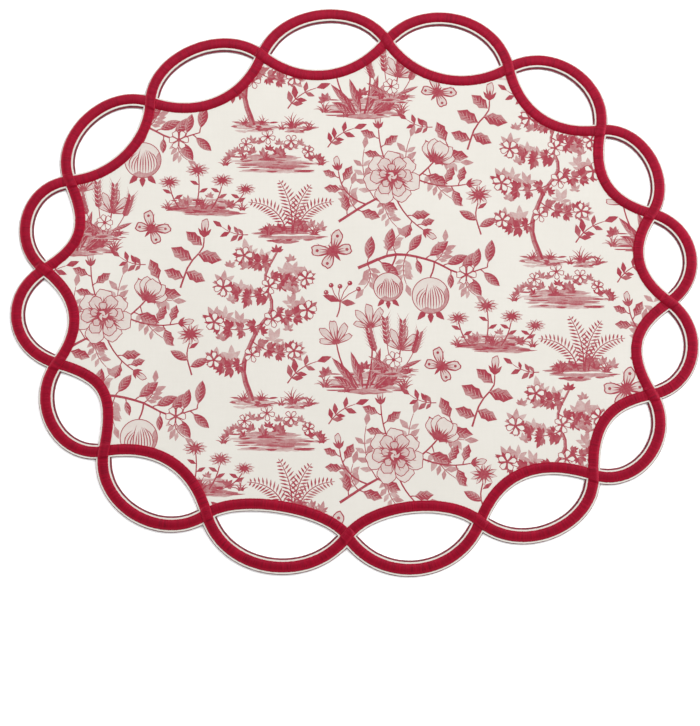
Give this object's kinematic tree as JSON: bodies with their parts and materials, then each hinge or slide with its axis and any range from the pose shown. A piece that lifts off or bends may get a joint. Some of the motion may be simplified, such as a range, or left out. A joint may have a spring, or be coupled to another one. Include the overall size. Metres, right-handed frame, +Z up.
{
  "type": "oval openwork placemat",
  "caption": "Flat oval placemat in ivory cloth with a raspberry botanical print, edged by interlaced red satin-stitched bands with lens-shaped cut-outs between them",
  "frame": {"origin": "centre of the underside's outline, on the surface that the mat lies on", "axes": "+X along the mat's longer axis, +Y along its shorter axis, +Z up out of the printed face"},
  "size_m": [0.4568, 0.3852, 0.0039],
  "materials": {
    "ivory_cloth": "matt plain-weave ivory cotton printed in raspberry",
    "dark_red_backing": "dark red stitching on the reverse, matt",
    "red_satin": "red satin stitch with a soft sheen across the threads"
  },
  "bodies": {
    "root": {"printed_cloth": "ivory_cloth", "border_backing": "dark_red_backing", "satin_band_a": "red_satin", "satin_band_b": "red_satin"}
  },
  "joints": []
}
